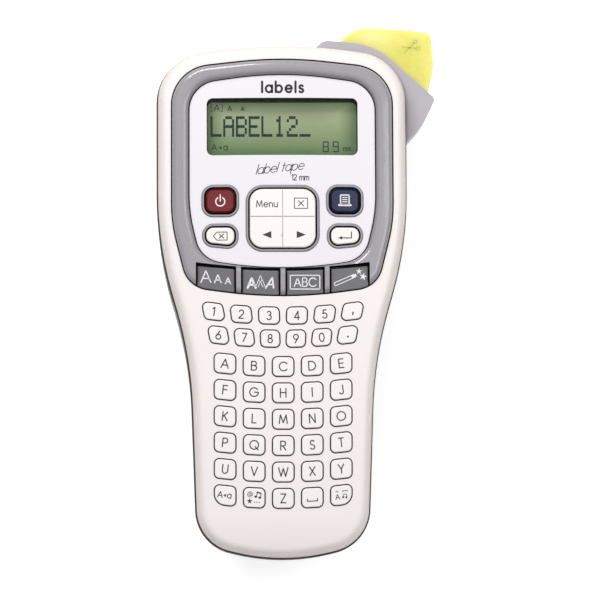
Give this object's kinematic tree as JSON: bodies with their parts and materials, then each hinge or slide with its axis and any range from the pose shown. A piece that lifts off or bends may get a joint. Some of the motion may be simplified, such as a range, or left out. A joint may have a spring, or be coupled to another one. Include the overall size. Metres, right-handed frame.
{
  "type": "handheld label maker",
  "caption": "Handheld label printer with a waisted white and grey casing, framed display panel, keyboard, thumb-pressed tape cutter lever and removable rear cover.",
  "frame": {"origin": "on the flat rear resting face, on the body's centreline, at the middle of the casing's length", "axes": "+Z is the front normal, out of the keys and display; +Y points to the display and cutter end; +X is to the right seen from the front; the device lies on its back"},
  "size_m": [0.1088, 0.2088, 0.0579],
  "materials": {
    "front_shell": "warm white, satin gloss",
    "rear_shell": "dark grey, fine texture",
    "guard_plastic": "light lilac grey",
    "bezel_grey": "mid grey, satin",
    "panel": "cool white, glossy",
    "window": "clear acrylic",
    "black_plastic": "black",
    "lcd": "green reflective display",
    "flex": "amber polyimide",
    "board": "green solder mask",
    "silicone": "translucent white silicone",
    "tray_plastic": "dark grey",
    "cassette_plastic": "light grey",
    "label_tape": "white laminated tape",
    "battery": "plain wrapped cells",
    "spring_steel": "plated spring steel",
    "ceramic": "glazed ceramic",
    "sheet_metal": "zinc plated sheet",
    "steel": "turned steel",
    "lever_plastic": "translucent yellow-green",
    "platen_rubber": "black rubber",
    "gear_plastic": "natural acetal",
    "brass": "turned brass",
    "power_key": "dark red",
    "print_key": "navy blue",
    "white_key": "off-white",
    "function_key": "dark grey"
  },
  "bodies": {
    "housing": {"front_shell": "front_shell", "rear_shell": "rear_shell", "cutter_guard": "guard_plastic", "bezel_frame": "bezel_grey", "display_panel": "panel", "display_window": "window", "lcd_frame": "black_plastic", "lcd_glass": "lcd", "lcd_flex_cable": "flex", "main_board": "board", "keypad_mat": "silicone", "compartment_tray": "tray_plastic", "cassette_case": "cassette_plastic", "label_tape": "label_tape", "batteries": "battery", "battery_contacts": "spring_steel", "dc_jack": "black_plastic", "print_head": "ceramic", "head_bracket": "sheet_metal", "motor_can": "sheet_metal", "gear_axles": "steel", "cutter_anvil": "black_plastic", "lever_pin": "steel", "lever_spring": "spring_steel", "platen_spring": "spring_steel", "holder_pin": "steel", "case_screws": "steel", "mechanism_plate": "sheet_metal"},
    "cover": {"rear_cover": "rear_shell"},
    "lever": {"cutter_lever": "lever_plastic"},
    "carriage": {"blade_carriage": "black_plastic", "cutter_blade": "steel"},
    "holder": {"platen_holder": "black_plastic"},
    "platen": {"platen_roller": "platen_rubber", "platen_gear": "gear_plastic"},
    "pinion": {"motor_pinion": "brass"},
    "first_gear": {"first_reduction_gear": "gear_plastic"},
    "second_gear": {"second_reduction_gear": "gear_plastic"},
    "ribbon_drive": {"ribbon_drive_gear": "gear_plastic", "ribbon_takeup_spool": "cassette_plastic"},
    "ribbon_supply": {"ribbon_supply_spool": "cassette_plastic"},
    "tape_reel": {"tape_spool": "cassette_plastic", "label_roll": "label_tape"},
    "power_key_body": {"power_key": "power_key"},
    "print_key_body": {"print_key": "print_key"},
    "backspace_key_body": {"backspace_key": "white_key"},
    "enter_key_body": {"enter_key": "white_key"},
    "menu_pad_body": {"menu_pad": "white_key"},
    "text_size_key_body": {"text_size_key": "function_key"},
    "text_style_key_body": {"text_style_key": "function_key"},
    "frame_key_body": {"frame_key": "function_key"},
    "decoration_key_body": {"decoration_key": "function_key"},
    "number_keys_upper_body": {"number_keys_upper": "white_key"},
    "number_keys_lower_body": {"number_keys_lower": "white_key"},
    "letter_keys_row_1_body": {"letter_keys_row_1": "white_key"},
    "letter_keys_row_2_body": {"letter_keys_row_2": "white_key"},
    "letter_keys_row_3_body": {"letter_keys_row_3": "white_key"},
    "letter_keys_row_4_body": {"letter_keys_row_4": "white_key"},
    "letter_keys_row_5_body": {"letter_keys_row_5": "white_key"},
    "letter_keys_row_6_body": {"letter_keys_row_6": "white_key"}
  },
  "joints": [
    {"name": "cover_removal", "type": "slide", "parent": "housing", "child": "cover", "axis": [0, 0, -1], "range_m": [0, 0.03]},
    {"name": "cutter_press", "type": "hinge", "parent": "housing", "child": "lever", "pos_m": [0.0505, 0.077, 0.03], "axis": [0, 0, 1], "range_deg": [0, 15], "stiffness_Nm_per_rad": 0.1, "springref_deg": -8.59},
    {"name": "blade_stroke", "type": "slide", "parent": "housing", "child": "carriage", "axis": [-1, 0, 0], "range_m": [0, 0.003]},
    {"name": "platen_release", "type": "hinge", "parent": "housing", "child": "holder", "pos_m": [0.042, 0.046, 0.012], "axis": [0, 0, 1], "range_deg": [-3, 0], "stiffness_Nm_per_rad": 0.05, "springref_deg": 11.46},
    {"name": "motor_spin", "type": "hinge", "parent": "housing", "child": "pinion", "pos_m": [0.04025, 0.0355, 0.033], "axis": [0, 0, 1], "continuous": true},
    {"name": "first_gear_spin", "type": "hinge", "parent": "housing", "child": "first_gear", "pos_m": [0.03303, 0.04661, 0.033], "axis": [0, 0, 1], "continuous": true},
    {"name": "second_gear_spin", "type": "hinge", "parent": "housing", "child": "second_gear", "pos_m": [0.03334, 0.05926, 0.03], "axis": [0, 0, 1], "continuous": true},
    {"name": "platen_spin", "type": "hinge", "parent": "holder", "child": "platen", "pos_m": [0.03944, 0.06511, 0.012], "axis": [0, 0, 1], "continuous": true},
    {"name": "ribbon_drive_spin", "type": "hinge", "parent": "housing", "child": "ribbon_drive", "pos_m": [0.024, 0.06166, 0.026], "axis": [0, 0, 1], "continuous": true},
    {"name": "ribbon_supply_spin", "type": "hinge", "parent": "housing", "child": "ribbon_supply", "pos_m": [0.011, 0.0705, 0.012], "axis": [0, 0, 1], "continuous": true},
    {"name": "tape_reel_spin", "type": "hinge", "parent": "housing", "child": "tape_reel", "pos_m": [-0.02, 0.056, 0.011], "axis": [0, 0, 1], "continuous": true},
    {"name": "power_key_press", "type": "slide", "parent": "housing", "child": "power_key_body", "axis": [0, 0, -1], "range_m": [0, 0.0012], "stiffness_N_per_m": 200, "springref_m": -0.002},
    {"name": "print_key_press", "type": "slide", "parent": "housing", "child": "print_key_body", "axis": [0, 0, -1], "range_m": [0, 0.0012], "stiffness_N_per_m": 200, "springref_m": -0.002},
    {"name": "backspace_key_press", "type": "slide", "parent": "housing", "child": "backspace_key_body", "axis": [0, 0, -1], "range_m": [0, 0.0012], "stiffness_N_per_m": 200, "springref_m": -0.002},
    {"name": "enter_key_press", "type": "slide", "parent": "housing", "child": "enter_key_body", "axis": [0, 0, -1], "range_m": [0, 0.0012], "stiffness_N_per_m": 200, "springref_m": -0.002},
    {"name": "menu_pad_press", "type": "slide", "parent": "housing", "child": "menu_pad_body", "axis": [0, 0, -1], "range_m": [0, 0.0012], "stiffness_N_per_m": 200, "springref_m": -0.002},
    {"name": "text_size_key_press", "type": "slide", "parent": "housing", "child": "text_size_key_body", "axis": [0, 0, -1], "range_m": [0, 0.0012], "stiffness_N_per_m": 200, "springref_m": -0.002},
    {"name": "text_style_key_press", "type": "slide", "parent": "housing", "child": "text_style_key_body", "axis": [0, 0, -1], "range_m": [0, 0.0012], "stiffness_N_per_m": 200, "springref_m": -0.002},
    {"name": "frame_key_press", "type": "slide", "parent": "housing", "child": "frame_key_body", "axis": [0, 0, -1], "range_m": [0, 0.0012], "stiffness_N_per_m": 200, "springref_m": -0.002},
    {"name": "decoration_key_press", "type": "slide", "parent": "housing", "child": "decoration_key_body", "axis": [0, 0, -1], "range_m": [0, 0.0012], "stiffness_N_per_m": 200, "springref_m": -0.002},
    {"name": "number_keys_upper_press", "type": "slide", "parent": "housing", "child": "number_keys_upper_body", "axis": [0, 0, -1], "range_m": [0, 0.0012], "stiffness_N_per_m": 200, "springref_m": -0.002},
    {"name": "number_keys_lower_press", "type": "slide", "parent": "housing", "child": "number_keys_lower_body", "axis": [0, 0, -1], "range_m": [0, 0.0012], "stiffness_N_per_m": 200, "springref_m": -0.002},
    {"name": "letter_keys_row_1_press", "type": "slide", "parent": "housing", "child": "letter_keys_row_1_body", "axis": [0, 0, -1], "range_m": [0, 0.0012], "stiffness_N_per_m": 200, "springref_m": -0.002},
    {"name": "letter_keys_row_2_press", "type": "slide", "parent": "housing", "child": "letter_keys_row_2_body", "axis": [0, 0, -1], "range_m": [0, 0.0012], "stiffness_N_per_m": 200, "springref_m": -0.002},
    {"name": "letter_keys_row_3_press", "type": "slide", "parent": "housing", "child": "letter_keys_row_3_body", "axis": [0, 0, -1], "range_m": [0, 0.0012], "stiffness_N_per_m": 200, "springref_m": -0.002},
    {"name": "letter_keys_row_4_press", "type": "slide", "parent": "housing", "child": "letter_keys_row_4_body", "axis": [0, 0, -1], "range_m": [0, 0.0012], "stiffness_N_per_m": 200, "springref_m": -0.002},
    {"name": "letter_keys_row_5_press", "type": "slide", "parent": "housing", "child": "letter_keys_row_5_body", "axis": [0, 0, -1], "range_m": [0, 0.0012], "stiffness_N_per_m": 200, "springref_m": -0.002},
    {"name": "letter_keys_row_6_press", "type": "slide", "parent": "housing", "child": "letter_keys_row_6_body", "axis": [0, 0, -1], "range_m": [0, 0.0012], "stiffness_N_per_m": 200, "springref_m": -0.002}
  ],
  "couplings": [
    {"joint": "blade_stroke", "follows": "cutter_press", "m_per_rad": 0.011154},
    {"joint": "first_gear_spin", "follows": "motor_spin", "ratio": -0.29412},
    {"joint": "second_gear_spin", "follows": "motor_spin", "ratio": 0.11765},
    {"joint": "platen_spin", "follows": "motor_spin", "ratio": -0.088235},
    {"joint": "ribbon_drive_spin", "follows": "motor_spin", "ratio": -0.070588},
    {"joint": "ribbon_supply_spin", "follows": "motor_spin", "ratio": -0.033882},
    {"joint": "tape_reel_spin", "follows": "motor_spin", "ratio": 0.021799}
  ]
}
